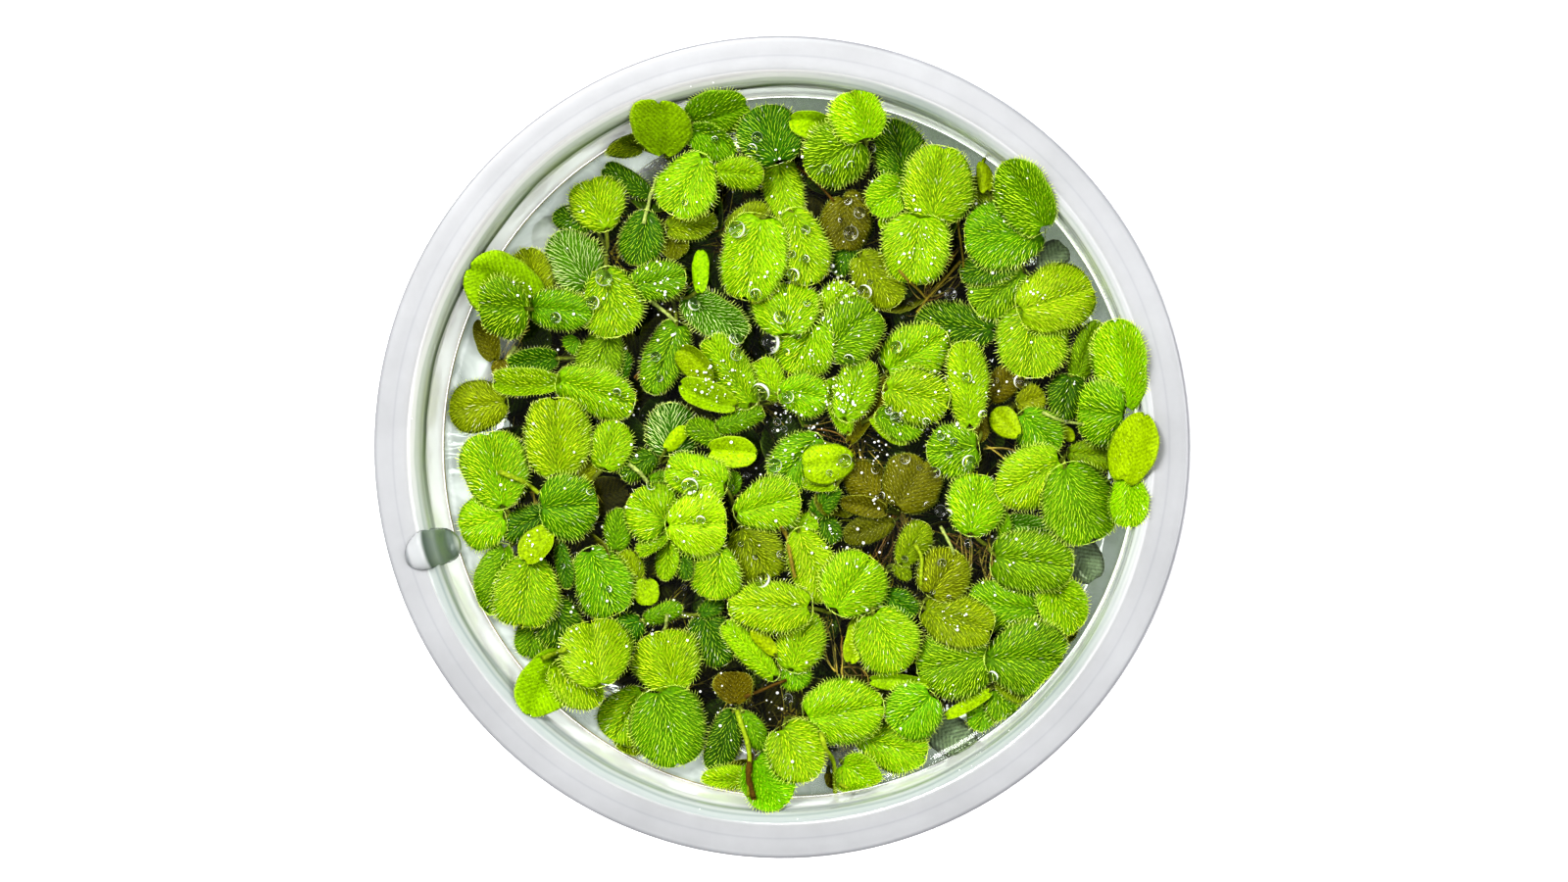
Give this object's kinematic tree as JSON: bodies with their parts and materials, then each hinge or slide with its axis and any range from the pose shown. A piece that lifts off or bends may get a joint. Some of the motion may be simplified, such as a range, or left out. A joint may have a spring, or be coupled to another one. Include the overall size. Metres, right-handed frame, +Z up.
{
  "type": "tub of water spangles",
  "caption": "Round clear plastic tub of water with its whole surface covered by small floating fern plants that have oval hairy leaves.",
  "frame": {"origin": "centre of the tub's flat underside", "axes": "+Z up out of the water, +X to the right and +Y away from the viewer in a view from above"},
  "size_m": [0.118, 0.118, 0.0619],
  "materials": {
    "clear_plastic": "thin clear polypropylene, finely frosted on the rim flange",
    "water": "still clear water, faintly yellow-green",
    "leaf_bright": "bright green leaf, water-repellent and densely haired",
    "leaf_mid": "mid green leaf, water-repellent and densely haired",
    "leaf_dark": "dark green leaf, water-repellent and densely haired",
    "leaf_olive": "olive green leaf, water-repellent and densely haired",
    "leaf_young": "young green leaf, water-repellent and densely haired",
    "leaf_old": "old leaf, olive-brown and bare"
  },
  "bodies": {
    "root": {"tub": "clear_plastic", "water": "water", "plant_01": "leaf_old", "plant_02": "leaf_old", "plant_03": "leaf_dark", "plant_04": "leaf_dark", "plant_05": "leaf_olive", "plant_06": "leaf_dark", "plant_07": "leaf_old", "plant_08": "leaf_mid", "plant_09": "leaf_young", "plant_10": "leaf_dark", "plant_11": "leaf_olive", "plant_12": "leaf_mid", "plant_13": "leaf_young", "plant_14": "leaf_bright", "plant_15": "leaf_bright", "plant_16": "leaf_mid", "plant_17": "leaf_olive", "plant_18": "leaf_young", "plant_19": "leaf_bright", "plant_20": "leaf_bright", "plant_21": "leaf_olive", "plant_22": "leaf_bright", "plant_23": "leaf_bright", "plant_24": "leaf_bright", "plant_25": "leaf_mid", "plant_26": "leaf_mid", "plant_27": "leaf_mid", "plant_28": "leaf_mid", "plant_29": "leaf_bright", "plant_30": "leaf_mid", "plant_31": "leaf_dark", "plant_32": "leaf_bright", "plant_33": "leaf_bright", "plant_34": "leaf_bright", "plant_35": "leaf_mid", "plant_36": "leaf_bright", "plant_37": "leaf_bright", "plant_38": "leaf_young", "plant_39": "leaf_young", "plant_40": "leaf_young", "plant_41": "leaf_olive", "plant_42": "leaf_bright", "plant_43": "leaf_mid", "plant_44": "leaf_bright", "plant_45": "leaf_bright", "plant_46": "leaf_mid", "plant_47": "leaf_young", "plant_48": "leaf_bright", "plant_49": "leaf_bright", "plant_50": "leaf_bright", "plant_51": "leaf_mid", "plant_52": "leaf_bright", "plant_53": "leaf_bright", "plant_54": "leaf_young", "plant_55": "leaf_bright", "plant_56": "leaf_young"}
  },
  "joints": []
}
